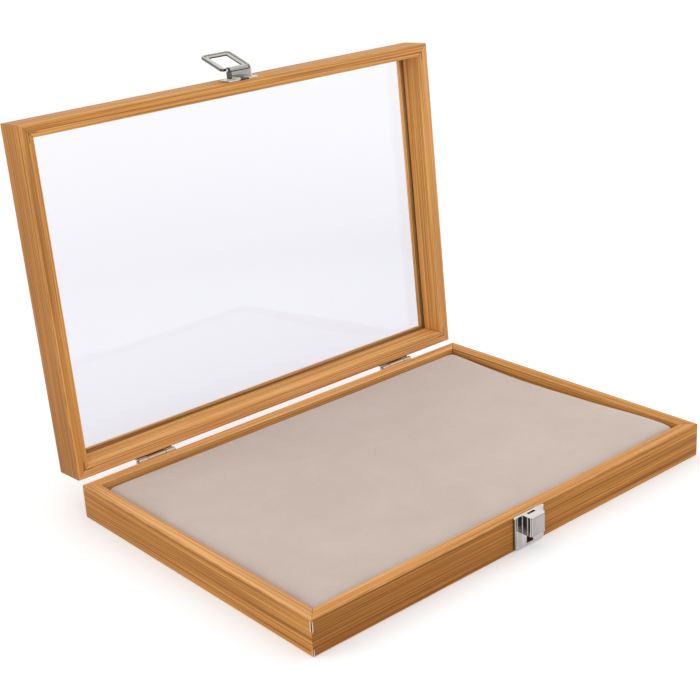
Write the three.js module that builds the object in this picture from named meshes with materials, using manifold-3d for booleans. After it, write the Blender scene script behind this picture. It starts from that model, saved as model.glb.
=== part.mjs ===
// A shallow wooden display case: a tray with a padded bed for coins, and a glazed lid of the same
// moulding hinged along its back edge. A folding loop on the lid closes over a raised catch on the tray.
// Millimetres, +Z up, X along the hinge line, -Y the front. The lid stands open against its hinges' stop.
import * as THREE from "three";
import { mergeVertices } from "three/addons/utils/BufferGeometryUtils.js";
import Module from "manifold-3d";

const wasm = await Module();
wasm.setup();

// ---- driving dimensions -------------------------------------------------------------------------
const WIDTH = 350; // along the hinge line
const DEPTH = 240; // front to back, closed
const TRAY_H = 24;
const LID_H = 24.7;
const RIM_GAP = 0.3; // between the two rims when the lid is shut
const OPEN_DEG = 93.6; // how far the lid stands open

const RAIL_T = 9; // width of the moulding at the rim
const LIP = 2; // how far its outer edge reaches in past the rim
const LIP_H = 3.6;
const KERF_H = 2.8; // groove for the glass and for the bottom board
const KERF_D = 2.8;
const EDGE = 0.6; // softened long edges
const MITRE = 0.2; // each mitre stands back by this

const AXIS_Y = DEPTH / 2 + 2.55; // hinge line
const AXIS_Z = 22.95;
const BARREL_R = 2.2;
const HINGE_BORE_R = 0.97;
const HINGE_PIN_R = 0.9;
const HINGE_L = 30;
const KNUCKLE = 7.5; // length of each outer knuckle
const HINGE_X = 114; // from the middle of the case to the middle of each hinge
const LEAF_T = 0.9;
const LEAF_H = 11.5;
const SCREW_DX = 10;

const LATCH_X = 0.4;
const CATCH = { w: 27, z0: 0.5, z1: 23.8, t: 1.7, box: 13.5, reach: 9.1, zBox: 10.6, wall: 0.8 };
const PLATE = { w: 25.6, h: 13, t: 1.3 };
const PIVOT_U = 7.6; // pivot of the loop, out from the front face and up from the lid's rim
const PIVOT_Z = 5.6;
const LOOP = { w: 25, d0: 2.9, d1: 28, win: 15.2, w0: 5.6, w1: 24.4 };
const LOOP_TILT_DEG = 20.5; // the open loop leans this far out from the lid's face

const NAIL = { leg: 6.5, t: 0.5, depth: 8.6 };

// ---- shape helpers ------------------------------------------------------------------------------
const V3 = (x, y, z) => new THREE.Vector3(x, y, z);

function geometryOf(positions, indices) {
  const g = new THREE.BufferGeometry();
  g.setAttribute("position", new THREE.Float32BufferAttribute(positions, 3));
  let volume = 0;
  for (let i = 0; i < indices.length; i += 3) {
    const [a, b, c] = [0, 1, 2].map((k) => {
      const j = indices[i + k] * 3;
      return V3(positions[j], positions[j + 1], positions[j + 2]);
    });
    volume += a.dot(b.cross(c));
  }
  if (volume < 0)
    for (let i = 0; i < indices.length; i += 3)
      [indices[i + 1], indices[i + 2]] = [indices[i + 2], indices[i + 1]];
  g.setIndex(indices);
  return g;
}

// Joins equal loops of points into one closed skin. A ring joins its last loop to its first;
// otherwise both ends are capped, each triangulated in the plane given by flat.
function skin(loops, { ring = false, flat = null, flatEnd = null } = {}) {
  const n = loops[0].length,
    m = loops.length,
    positions = loops.flat().flatMap((p) => [p.x, p.y, p.z]),
    indices = [];
  for (let i = 0; i < (ring ? m : m - 1); i++)
    for (let j = 0; j < n; j++) {
      const a = i * n + j,
        b = i * n + ((j + 1) % n),
        c = ((i + 1) % m) * n + ((j + 1) % n),
        d = ((i + 1) % m) * n + j;
      indices.push(a, b, c, a, c, d);
    }
  if (!ring)
    [0, m - 1].forEach((i, end) => {
      const contour = end && flatEnd ? flatEnd : flat;
      const way = Math.sign(THREE.ShapeUtils.area(contour));
      for (const [a, b, c] of THREE.ShapeUtils.triangulateShape(contour, [])) {
        const same =
          Math.sign(THREE.ShapeUtils.area([contour[a], contour[b], contour[c]])) === way;
        const tri = same === Boolean(end) ? [a, b, c] : [a, c, b];
        indices.push(...tri.map((k) => i * n + k));
      }
    });
  return geometryOf(positions, indices);
}

// Rounded rectangle, counter-clockwise, corner radii in the order low-low, high-low, high-high, low-high.
function outline(x0, x1, y0, y1, radii, seg = 3) {
  const r = Array.isArray(radii) ? radii : [radii, radii, radii, radii],
    corners = [
      [x0 + r[0], y0 + r[0], Math.PI],
      [x1 - r[1], y0 + r[1], 1.5 * Math.PI],
      [x1 - r[2], y1 - r[2], 0],
      [x0 + r[3], y1 - r[3], 0.5 * Math.PI],
    ];
  return corners.flatMap(([cx, cy, start], k) =>
    Array.from({ length: seg + 1 }, (_, i) => {
      const a = start + (i / seg) * 0.5 * Math.PI;
      return new THREE.Vector2(cx + r[k] * Math.cos(a), cy + r[k] * Math.sin(a));
    }),
  );
}

// Turned solid about Z: profile is [radius, z] from one end of the axis to the other.
function turned(profile, seg = 20) {
  const positions = [0, 0, profile[0][1]],
    indices = [],
    rings = profile.slice(1, -1);
  for (const [r, z] of rings)
    for (let j = 0; j < seg; j++) {
      const a = (j / seg) * 2 * Math.PI;
      positions.push(r * Math.cos(a), r * Math.sin(a), z);
    }
  positions.push(0, 0, profile.at(-1)[1]);
  const top = positions.length / 3 - 1,
    at = (i, j) => 1 + i * seg + (j % seg);
  for (let j = 0; j < seg; j++) {
    indices.push(0, at(0, j + 1), at(0, j));
    indices.push(top, at(rings.length - 1, j), at(rings.length - 1, j + 1));
    for (let i = 0; i + 1 < rings.length; i++)
      indices.push(at(i, j), at(i, j + 1), at(i + 1, j + 1), at(i, j), at(i + 1, j + 1), at(i + 1, j));
  }
  return geometryOf(positions, indices);
}

const block = (x0, x1, y0, y1, z0, z1) =>
  new THREE.BoxGeometry(x1 - x0, y1 - y0, z1 - z0).translate((x0 + x1) / 2, (y0 + y1) / 2, (z0 + z1) / 2);

const rod = (r, x0, x1, y, z, seg = 24) =>
  new THREE.CylinderGeometry(r, r, x1 - x0, seg).rotateZ(Math.PI / 2).translate((x0 + x1) / 2, y, z);

function solid(geometry) {
  let bare = new THREE.BufferGeometry().setAttribute("position", geometry.getAttribute("position").clone());
  if (geometry.index) bare.setIndex(geometry.index.clone());
  bare = mergeVertices(bare, 1e-4);
  return new wasm.Manifold(
    new wasm.Mesh({
      numProp: 3,
      vertProperties: new Float32Array(bare.attributes.position.array),
      triVerts: new Uint32Array(bare.index.array),
    }),
  );
}

function cut(base, tools, extra = []) {
  let made = solid(base);
  for (const g of extra) made = made.add(solid(g));
  for (const g of tools) made = made.subtract(solid(g));
  const mesh = made.getMesh(),
    g = new THREE.BufferGeometry();
  const v = new Float32Array(mesh.numVert * 3);
  for (let i = 0; i < mesh.numVert; i++) v.set(mesh.vertProperties.subarray(i * mesh.numProp, i * mesh.numProp + 3), i * 3);
  g.setAttribute("position", new THREE.BufferAttribute(v, 3));
  g.setIndex(new THREE.BufferAttribute(mesh.triVerts, 1));
  return g;
}

// ---- materials ----------------------------------------------------------------------------------
const finish = {
  wood: { color: 0xc8863f, roughness: 0.5, metalness: 0 },
  glass: { color: 0xe8ecf6, roughness: 0.05, metalness: 0, transparent: true, opacity: 0.25 },
  board: { color: 0x9a7048, roughness: 0.9, metalness: 0 },
  card: { color: 0xb8ad98, roughness: 0.95, metalness: 0 },
  foam: { color: 0xd9d6cc, roughness: 1, metalness: 0 },
  suede: { color: 0xc9bbae, roughness: 0.95, metalness: 0 },
  nickel: { color: 0xc9c7c2, roughness: 0.18, metalness: 1 },
  hinge_metal: { color: 0x8f7a60, roughness: 0.3, metalness: 1 },
  steel: { color: 0x6d6a66, roughness: 0.4, metalness: 1 },
};
const materials = Object.fromEntries(Object.entries(finish).map(([k, v]) => [k, new THREE.MeshStandardMaterial(v)]));

const root = new THREE.Group();
root.name = "coin_display_tray";

// The lid is drawn shut, then turned back about the hinge line.
const lid = new THREE.Group();
lid.name = "lid";
lid.rotation.x = -THREE.MathUtils.degToRad(OPEN_DEG);
lid.position.set(0, AXIS_Y, AXIS_Z);
root.add(lid);

function put(parent, name, geometry, material) {
  const flat = geometry.index ? geometry.toNonIndexed() : geometry;
  if (parent === lid) flat.translate(0, -AXIS_Y, -AXIS_Z);
  flat.computeVertexNormals();
  const mesh = new THREE.Mesh(flat, materials[material]);
  mesh.name = name;
  parent.add(mesh);
  return mesh;
}

// ---- frames -------------------------------------------------------------------------------------
const RIM_Z = TRAY_H + RIM_GAP; // the lid's rim, shut
const LID_TOP = RIM_Z + LID_H;

// Section of the moulding: [distance in from the outer face, height above its lipped edge].
function section(h) {
  return [
    [EDGE, 0], [RAIL_T + LIP - 0.4, 0], [RAIL_T + LIP, 0.4], [RAIL_T + LIP, LIP_H],
    [RAIL_T - KERF_D, LIP_H], [RAIL_T - KERF_D, LIP_H + KERF_H], [RAIL_T, LIP_H + KERF_H],
    [RAIL_T, h - EDGE], [RAIL_T - EDGE, h], [EDGE, h], [0, h - EDGE], [0, EDGE],
  ];
}

const SIDES = {
  front: { half: WIDTH / 2, turn: 0, out: DEPTH / 2 },
  right: { half: DEPTH / 2, turn: Math.PI / 2, out: WIDTH / 2 },
  back: { half: WIDTH / 2, turn: Math.PI, out: DEPTH / 2 },
  left: { half: DEPTH / 2, turn: -Math.PI / 2, out: WIDTH / 2 },
};

function rail(side, h, level) {
  const { half, turn, out } = SIDES[side],
    pts = section(h),
    flat = pts.map(([s, z]) => new THREE.Vector2(s, z));
  const loops = [-1, 1].map((end) => pts.map(([s, z]) => V3(end * (half - s - MITRE), s - out, level(z))));
  return skin(loops, { flat }).rotateZ(turn);
}

// A bent corner nail: two legs, one along each rail, joined across the mitre.
function cornerNail(sx, sy, inset, z0, z1, grow = 0) {
  const ax = sx * (WIDTH / 2 - inset),
    ay = sy * (DEPTH / 2 - inset),
    t = NAIL.t,
    span = (a, s, from, to) => [a - s * from, a - s * to].sort((p, q) => p - q);
  const [lx0, lx1] = span(ax, sx, -grow, NAIL.leg + grow),
    [ly0, ly1] = span(ay, sy, -grow, t + grow),
    [mx0, mx1] = span(ax, sx, -grow, t + grow),
    [my0, my1] = span(ay, sy, -grow, NAIL.leg + grow);
  return [block(lx0, lx1, ly0, ly1, z0, z1), block(mx0, mx1, my0, my1, z0, z1)];
}

const CORNERS = { fl: [-1, -1], fr: [1, -1], bl: [-1, 1], br: [1, 1] };
const TRAY_NAIL_IN = 4.5,
  LID_NAIL_IN = 5.5;

// Fastener seats in the rails, in shut coordinates.
const SCREW_Z_TRAY = 13.4,
  SCREW_Z_LID = 32.2;
const screwSpots = [-1, 1].flatMap((h) => [-1, 1].map((s) => h * HINGE_X + s * SCREW_DX));
const pilot = (x, z) => new THREE.CylinderGeometry(1.3, 1.3, 8, 16).translate(x, DEPTH / 2 - 2.6, z);

const yOut = (u) => -(DEPTH / 2 + u); // u is measured out from the front face
const prongSeats = [-1, 1].map((s) => {
  const x = LATCH_X + s * 10;
  return block(x - 0.7, x + 0.7, yOut(0.5), yOut(-5.4), 10.7, 13.3);
});
const TACK_DX = 6.4,
  TACK_Z = RIM_Z + 10.6;
const tackSeats = [-1, 1].map((s) =>
  new THREE.CylinderGeometry(0.9, 0.9, 7, 16).translate(LATCH_X + s * TACK_DX, yOut(-2.9), TACK_Z),
);

for (const side of Object.keys(SIDES)) {
  const nails = Object.values(CORNERS).flatMap(([sx, sy]) => cornerNail(sx, sy, TRAY_NAIL_IN, -1, NAIL.depth + 0.3, 0.3));
  const tools = [...nails];
  if (side === "back") tools.push(...screwSpots.map((x) => pilot(x, SCREW_Z_TRAY)));
  if (side === "front") tools.push(...prongSeats);
  put(root, `tray_rail_${side}`, cut(rail(side, TRAY_H, (z) => z), tools), "wood");
}
for (const side of Object.keys(SIDES)) {
  const nails = Object.values(CORNERS).flatMap(([sx, sy]) => cornerNail(sx, sy, LID_NAIL_IN, RIM_Z - 1, RIM_Z + NAIL.depth + 0.3, 0.3));
  const tools = [...nails];
  if (side === "back") tools.push(...screwSpots.map((x) => pilot(x, SCREW_Z_LID)));
  if (side === "front") tools.push(...tackSeats);
  put(lid, `lid_rail_${side}`, cut(rail(side, LID_H, (z) => LID_TOP - z), tools), "wood");
}
for (const [name, [sx, sy]] of Object.entries(CORNERS)) {
  const [a, b] = cornerNail(sx, sy, TRAY_NAIL_IN, 0.3, NAIL.depth);
  put(root, `tray_corner_nail_${name}`, cut(a, [], [b]), "steel");
  const [c, d] = cornerNail(sx, sy, LID_NAIL_IN, RIM_Z + 0.15, RIM_Z + NAIL.depth);
  put(lid, `lid_corner_nail_${name}`, cut(c, [], [d]), "steel");
}

// ---- panels -------------------------------------------------------------------------------------
const inX = WIDTH / 2 - (RAIL_T - KERF_D) - 0.3,
  inY = DEPTH / 2 - (RAIL_T - KERF_D) - 0.3;
put(root, "tray_bottom_board", block(-inX, inX, -inY, inY, LIP_H + 0.15, LIP_H + KERF_H - 0.15), "board");
put(lid, "lid_glass", block(-inX, inX, -inY, inY, LID_TOP - LIP_H - KERF_H + 0.3, LID_TOP - LIP_H - 0.3), "glass");

// ---- pad: a card stiffener and a foam slab inside a suede cover turned under at the edges ---------
const roundLoop = ([hx, hy, r, z]) => outline(-hx, hx, -hy, hy, r, 3).map((p) => V3(p.x, p.y, z));
function stack(rows) {
  const loops = rows.map(roundLoop);
  const flatOf = (l) => l.map((p) => new THREE.Vector2(p.x, p.y));
  return skin(loops, { flat: flatOf(loops[0]), flatEnd: flatOf(loops.at(-1)) });
}
put(
  root,
  "pad_cover",
  stack([
    [39.5, 9.5, 5, 21.0], [89.5, 44.5, 10, 20.9], [139.5, 85.5, 8, 20.6], [160.6, 105.6, 5, 20.2],
    [162.6, 107.6, 5, 19.8], [163.8, 108.8, 4.6, 19.0], [164.4, 109.4, 4.4, 17.8], [164.4, 109.4, 4.4, 8.0],
    [163.8, 108.8, 4, 7.25], [150.7, 95.7, 3, 7.25],
    [150.7, 95.7, 3, 6.65], [164.2, 109.2, 4, 6.65], [165.2, 110.2, 5, 7.6], [165.2, 110.2, 5, 18.0],
    [164.6, 109.6, 5, 19.4], [163.2, 108.2, 5, 20.5], [161.0, 106.0, 5, 21.0], [140, 86, 8, 21.4],
    [90, 45, 10, 21.7], [40, 10, 5, 21.8],
  ]),
  "suede",
);
put(
  root,
  "pad_foam",
  stack([
    [164.0, 109.0, 4.2, 9.85], [164.0, 109.0, 4.2, 17.6], [163.3, 108.3, 4.2, 18.7], [162.2, 107.2, 4.4, 19.4],
    [160.4, 105.4, 4.6, 19.8], [139, 85, 8, 20.2], [89, 44, 10, 20.5], [39, 9, 5, 20.6],
  ]),
  "foam",
);
put(root, "pad_board", stack([[163.6, 108.6, 3.5, 7.6], [163.6, 108.6, 3.5, 9.5]]), "card");

// ---- hinges -------------------------------------------------------------------------------------
const LEAF_Y0 = DEPTH / 2 + 0.3,
  LEAF_Y1 = LEAF_Y0 + LEAF_T;
const sink = (x, z) =>
  turned([[0, -2], [1.3, -2], [1.3, 0.1], [2.3, LEAF_T + 0.1], [2.3, 3], [0, 3]], 16)
    .rotateX(-Math.PI / 2)
    .translate(x, LEAF_Y0, z);
function leaf(hx, up) {
  const L = HINGE_L / 2,
    s = up ? 1 : -1,
    zs = (a, b) => [AXIS_Z + s * a, AXIS_Z + s * b].sort((p, q) => p - q);
  const spans = up
    ? [[-L + KNUCKLE + 0.2, L - KNUCKLE - 0.2]]
    : [[-L, -L + KNUCKLE - 0.2], [L - KNUCKLE + 0.2, L]];
  const [z0, z1] = zs(2.7, 2.7 + LEAF_H);
  const extra = [];
  for (const [a, b] of spans) {
    const [t0, t1] = zs(0, 2.9);
    extra.push(block(hx + a, hx + b, LEAF_Y0, LEAF_Y1, t0, t1), rod(BARREL_R, hx + a, hx + b, AXIS_Y, AXIS_Z));
  }
  const screwZ = up ? SCREW_Z_LID : SCREW_Z_TRAY;
  return cut(
    block(hx - L, hx + L, LEAF_Y0, LEAF_Y1, z0, z1),
    [
      rod(HINGE_BORE_R, hx - L - 1, hx + L + 1, AXIS_Y, AXIS_Z),
      ...[-1, 1].map((k) => sink(hx + k * SCREW_DX, screwZ)),
    ],
    extra,
  );
}
function screw(x, z) {
  const body = turned(
    [[0, -7], [0.35, -6.4], [1.0, -4.6], [1.0, -0.1], [2.1, LEAF_T - 0.05], [1.9, LEAF_T + 0.15], [1.2, LEAF_T + 0.38], [0, LEAF_T + 0.45]],
    16,
  );
  return cut(body, [block(-1.35, 1.35, -0.24, 0.24, LEAF_T - 0.3, 3), block(-0.24, 0.24, -1.35, 1.35, LEAF_T - 0.3, 3)])
    .rotateX(-Math.PI / 2)
    .translate(x, LEAF_Y0, z);
}
for (const [name, sx] of [["left", -1], ["right", 1]]) {
  const hx = sx * HINGE_X,
    L = HINGE_L / 2;
  put(root, `hinge_${name}_tray_leaf`, leaf(hx, false), "hinge_metal");
  put(lid, `hinge_${name}_lid_leaf`, leaf(hx, true), "hinge_metal");
  put(
    root,
    `hinge_${name}_pin`,
    turned(
      [[0, -L - 1.1], [1.1, -L - 1.0], [1.6, -L - 0.6], [1.6, -L - 0.2], [HINGE_PIN_R, -L - 0.2], [HINGE_PIN_R, L + 0.2], [1.6, L + 0.2], [1.6, L + 0.6], [1.1, L + 1.0], [0, L + 1.1]],
      20,
    )
      .rotateY(Math.PI / 2)
      .translate(hx, AXIS_Y, AXIS_Z),
    "hinge_metal",
  );
  [["a", -1], ["b", 1]].forEach(([tag, k]) => {
    put(root, `hinge_${name}_tray_screw_${tag}`, screw(hx + k * SCREW_DX, SCREW_Z_TRAY), "hinge_metal");
    put(lid, `hinge_${name}_lid_screw_${tag}`, screw(hx + k * SCREW_DX, SCREW_Z_LID), "hinge_metal");
  });
}

// ---- catch on the tray --------------------------------------------------------------------------
// Drawn in (x, z) and stepped outwards in u.
const faceLoop = (pts, u) => pts.map((p) => V3(LATCH_X + p.x, yOut(u), p.y));
{
  const { w, z0, z1, t, box, reach, zBox, wall } = CATCH,
    h = w / 2,
    plate = (inset, u) => faceLoop(outline(-h + inset, h - inset, z0 + inset, z1 - inset * 0.4, [2.2, 2.2, 0.7, 0.7]), u);
  const flat = outline(-h, h, z0, z1, [2.2, 2.2, 0.7, 0.7]);
  const body = skin([plate(0, 0.3), plate(0, 0.9), plate(0.35, 1.4), plate(0.9, t)], { flat });
  // The raised box, in plan (x, u).
  const plan = (hx, u0, u1, r, za, zb) => {
    const pts = outline(-hx, hx, u0, u1, [0.01, 0.01, r, r], 4),
      at = (z) => pts.map((p) => V3(LATCH_X + p.x, yOut(p.y), z));
    return skin([at(za), at(zb)], { flat: pts });
  };
  const outer = plan(box / 2, t - 0.5, reach, 1.8, zBox, z1),
    inner = plan(box / 2 - wall, t, reach - wall, 1.0, zBox - 1, z1 - wall);
  const prongs = [-1, 1].map((s) => {
    const x = LATCH_X + s * 10;
    return block(x - 0.4, x + 0.4, yOut(0.8), yOut(-5), 11, 13);
  });
  put(
    root,
    "latch_catch",
    cut(
      body,
      [
        inner,
        block(LATCH_X - 3.3, LATCH_X + 3.3, yOut(3.9), yOut(1.9), z1 - 2, z1 + 1),
        block(LATCH_X - 3, LATCH_X + 3, yOut(t + 0.3), yOut(0), 2.6, 9.2),
      ],
      [outer, ...prongs],
    ),
    "nickel",
  );
}

// ---- bracket, pivot and loop on the lid ---------------------------------------------------------
const Z = (z) => RIM_Z + z; // heights from the lid's rim
{
  const h = PLATE.w / 2,
    pts = (inset) => outline(-h + inset, h - inset, Z(0.3) + inset, Z(0.3 + PLATE.h) - inset, [0.8, 0.8, 2.4, 2.4]);
  const body = skin([faceLoop(pts(0), 0.3), faceLoop(pts(0), 0.9), faceLoop(pts(0.5), PLATE.t)], { flat: pts(0) });
  const ears = [-9.2, 8.3].flatMap((x) => [
    block(LATCH_X + x, LATCH_X + x + 0.9, yOut(PIVOT_U), yOut(1), Z(3.5), Z(7.7)),
    block(LATCH_X + x, LATCH_X + x + 0.9, yOut(6.7), yOut(1), Z(3.0), Z(7.7)),
    rod(2.1, LATCH_X + x, LATCH_X + x + 0.9, yOut(PIVOT_U), Z(PIVOT_Z)),
  ]);
  put(
    lid,
    "latch_bracket",
    cut(
      body,
      [
        block(LATCH_X - 4.2, LATCH_X + 4.2, yOut(2), yOut(0), Z(-0.5), Z(2.8)),
        rod(0.9, LATCH_X - 11, LATCH_X + 11, yOut(PIVOT_U), Z(PIVOT_Z)),
        ...[-1, 1].map((s) =>
          new THREE.CylinderGeometry(0.75, 0.75, 4, 16).translate(LATCH_X + s * TACK_DX, yOut(1), TACK_Z),
        ),
      ],
      [
        ...ears,
        block(LATCH_X - 9.2, LATCH_X + 9.2, yOut(6.7), yOut(1), Z(3.0), Z(3.9)),
        block(LATCH_X - 3, LATCH_X + 3, yOut(3.3), yOut(2.4), Z(-3.9), Z(3.2)),
      ],
    ),
    "nickel",
  );
  [["a", -1], ["b", 1]].forEach(([tag, s]) =>
    put(
      lid,
      `latch_tack_${tag}`,
      turned([[0, -6.3], [0.6, -5.2], [0.6, PLATE.t + 0.1], [1.5, PLATE.t + 0.1], [1.35, PLATE.t + 0.5], [0.8, PLATE.t + 0.8], [0, PLATE.t + 0.9]], 14)
        .rotateX(Math.PI / 2)
        .translate(LATCH_X + s * TACK_DX, yOut(0), TACK_Z),
      "nickel",
    ),
  );
  put(
    lid,
    "latch_pivot_pin",
    turned([[0, -10.3], [0.9, -10.2], [1.3, -9.8], [1.3, -9.4], [0.8, -9.4], [0.8, 9.4], [1.3, 9.4], [1.3, 9.8], [0.9, 10.2], [0, 10.3]], 20)
      .rotateY(Math.PI / 2)
      .translate(LATCH_X, yOut(PIVOT_U), Z(PIVOT_Z)),
    "nickel",
  );
}
{
  // Drawn flat: x across, y away from the pivot, z the loop's outer side; then stood up at the pivot.
  const { w, d0, d1, win, w0, w1 } = LOOP;
  const mix = (a, b, k) => a + (b - a) * k;
  const ringAt = (k, n, r) =>
    outline(-mix(w / 2, win / 2, k), mix(w / 2, win / 2, k), mix(d0, w0, k), mix(d1, w1, k), r, 4).map((p) => V3(p.x, p.y, n));
  const frame = skin(
    [
      ringAt(0, -0.45, 2.6), ringAt(0, 0.3, 2.6), ringAt(0.06, 0.45, 2.5), ringAt(0.62, -0.85, 1.2),
      ringAt(1, -0.85, 0.7), ringAt(1, -1.65, 0.7), ringAt(0.6, -1.65, 1.2),
    ],
    { ring: true },
  );
  const made = cut(
    frame,
    [rod(0.88, -9, 9, 0, 0)],
    [block(-7.8, 7.8, 0.6, 4.2, -0.45, 0.4), rod(1.55, -7.9, 7.9, 0, 0)],
  );
  made
    .rotateX(Math.PI / 2 + THREE.MathUtils.degToRad(LOOP_TILT_DEG))
    .translate(LATCH_X, yOut(PIVOT_U), Z(PIVOT_Z));
  put(lid, "latch_loop", made, "nickel");
}

// The origin is under the middle of the case as it stands open.
root.updateMatrixWorld(true);
const extent = new THREE.Box3().setFromObject(root, true);
root.position.y = -(extent.min.y + extent.max.y) / 2;

export default root;
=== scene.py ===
"""Looks of the coin display tray: foil-wrapped mouldings, glass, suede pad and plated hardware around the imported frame."""

import math

import bmesh
import bpy
import numpy as np
from mathutils import Matrix, Vector


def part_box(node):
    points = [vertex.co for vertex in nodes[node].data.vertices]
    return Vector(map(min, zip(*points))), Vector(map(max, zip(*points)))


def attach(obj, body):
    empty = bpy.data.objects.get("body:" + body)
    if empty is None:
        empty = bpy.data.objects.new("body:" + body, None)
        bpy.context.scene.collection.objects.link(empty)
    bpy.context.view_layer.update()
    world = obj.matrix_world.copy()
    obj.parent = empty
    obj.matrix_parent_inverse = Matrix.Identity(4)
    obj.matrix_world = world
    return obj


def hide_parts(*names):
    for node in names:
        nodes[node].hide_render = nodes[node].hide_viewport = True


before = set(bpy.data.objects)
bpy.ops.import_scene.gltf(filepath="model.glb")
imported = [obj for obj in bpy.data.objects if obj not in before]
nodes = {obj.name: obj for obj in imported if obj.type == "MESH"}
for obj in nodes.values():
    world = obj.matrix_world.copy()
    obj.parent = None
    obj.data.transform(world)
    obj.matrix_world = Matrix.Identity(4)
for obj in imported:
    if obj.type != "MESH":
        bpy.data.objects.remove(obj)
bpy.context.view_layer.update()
scene = bpy.context.scene
rng = np.random.default_rng(7)

# ---- sizes in millimetres, as the frame has them ------------------------------------------------
WIDTH, DEPTH, TRAY_H, LID_H, RIM_GAP = 350.0, 240.0, 24.0, 24.7, 0.3
RAIL_T, LIP, LIP_H, KERF_H, KERF_D, EDGE = 9.0, 2.0, 3.6, 2.8, 2.8, 0.6
AXIS_Y, AXIS_Z, OPEN_DEG = 122.55, 22.95, 93.6
RIM_Z = TRAY_H + RIM_GAP
LID_TOP = RIM_Z + LID_H
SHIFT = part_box("tray_rail_front")[0].y * 1000 + DEPTH / 2  # the case's own middle against the frame's origin

MM = Matrix.Diagonal((0.001, 0.001, 0.001, 1))
TRAY_M = MM @ Matrix.Translation((0, SHIFT, 0))
LID_M = (
    MM
    @ Matrix.Translation((0, AXIS_Y + SHIFT, AXIS_Z))
    @ Matrix.Rotation(-math.radians(OPEN_DEG), 4, "X")
    @ Matrix.Translation((0, -AXIS_Y, -AXIS_Z))
)


# ---- node helpers -------------------------------------------------------------------------------
def srgb(r, g, b):
    return tuple(((c / 255 + 0.055) / 1.055) ** 2.4 if c > 10 else c / 255 / 12.92 for c in (r, g, b)) + (1.0,)


class Nodes:
    """A short way to write a material's node tree."""

    def __init__(self, name):
        self.mat = bpy.data.materials.new(name)
        self.mat.use_nodes = True
        self.t = self.mat.node_tree
        self.t.nodes.clear()
        self.out = self.t.nodes.new("ShaderNodeOutputMaterial")
        self.p = self.t.nodes.new("ShaderNodeBsdfPrincipled")
        self.link(self.p.outputs[0], self.out.inputs[0])

    def link(self, a, b):
        self.t.links.new(a, b)

    def put(self, socket, value):
        if isinstance(value, bpy.types.NodeSocket):
            self.link(value, socket)
        else:
            socket.default_value = value

    def set(self, **kw):
        names = {"color": "Base Color", "rough": "Roughness", "metal": "Metallic", "normal": "Normal", "ior": "IOR",
                 "spec": "Specular IOR Level", "sheen": "Sheen Weight", "sheen_rough": "Sheen Roughness",
                 "sheen_tint": "Sheen Tint", "coat": "Coat Weight", "coat_rough": "Coat Roughness",
                 "trans": "Transmission Weight", "aniso": "Anisotropic"}
        for k, v in kw.items():
            self.put(self.p.inputs[names[k]], v)

    def math(self, op, a, b=0.0, c=None, clamp=False):
        n = self.t.nodes.new("ShaderNodeMath")
        n.operation = op
        n.use_clamp = clamp
        self.put(n.inputs[0], a)
        self.put(n.inputs[1], b)
        if c is not None:
            self.put(n.inputs[2], c)
        return n.outputs[0]

    def uv(self, name):
        n = self.t.nodes.new("ShaderNodeUVMap")
        n.uv_map = name
        return n.outputs[0]

    def object_coords(self):
        return self.t.nodes.new("ShaderNodeTexCoord").outputs["Object"]

    def attribute(self, name):
        n = self.t.nodes.new("ShaderNodeAttribute")
        n.attribute_name = name
        return n.outputs["Fac"]

    def scaled(self, vector, scale, offset=(0, 0, 0)):
        n = self.t.nodes.new("ShaderNodeMapping")
        self.link(vector, n.inputs["Vector"])
        n.inputs["Scale"].default_value = scale
        n.inputs["Location"].default_value = offset
        return n.outputs[0]

    def noise(self, vector, scale=1.0, detail=2.0, rough=0.5, distort=0.0):
        n = self.t.nodes.new("ShaderNodeTexNoise")
        self.link(vector, n.inputs["Vector"])
        n.inputs["Scale"].default_value = scale
        n.inputs["Detail"].default_value = detail
        n.inputs["Roughness"].default_value = rough
        n.inputs["Distortion"].default_value = distort
        return n.outputs[0]

    def ramp(self, fac, stops):
        n = self.t.nodes.new("ShaderNodeValToRGB")
        self.link(fac, n.inputs[0])
        e = n.color_ramp.elements
        while len(e) < len(stops):
            e.new(0.5)
        for i, (at, col) in enumerate(stops):
            e[i].position = at
            e[i].color = col if len(col) == 4 else (*col, 1)
        return n.outputs[0]

    def mix(self, fac, a, b, blend="MIX"):
        n = self.t.nodes.new("ShaderNodeMix")
        n.data_type = "RGBA"
        n.blend_type = blend
        self.put(n.inputs[0], fac)
        self.put(n.inputs[6], a)
        self.put(n.inputs[7], b)
        return n.outputs[2]

    def range(self, v, a, b, c, d):
        n = self.t.nodes.new("ShaderNodeMapRange")
        self.link(v, n.inputs[0])
        for i, x in enumerate((a, b, c, d)):
            n.inputs[i + 1].default_value = x
        return n.outputs[0]

    def bump(self, height, strength, distance):
        n = self.t.nodes.new("ShaderNodeBump")
        self.link(height, n.inputs["Height"])
        n.inputs["Strength"].default_value = strength
        n.inputs["Distance"].default_value = distance
        return n.outputs[0]


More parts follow.
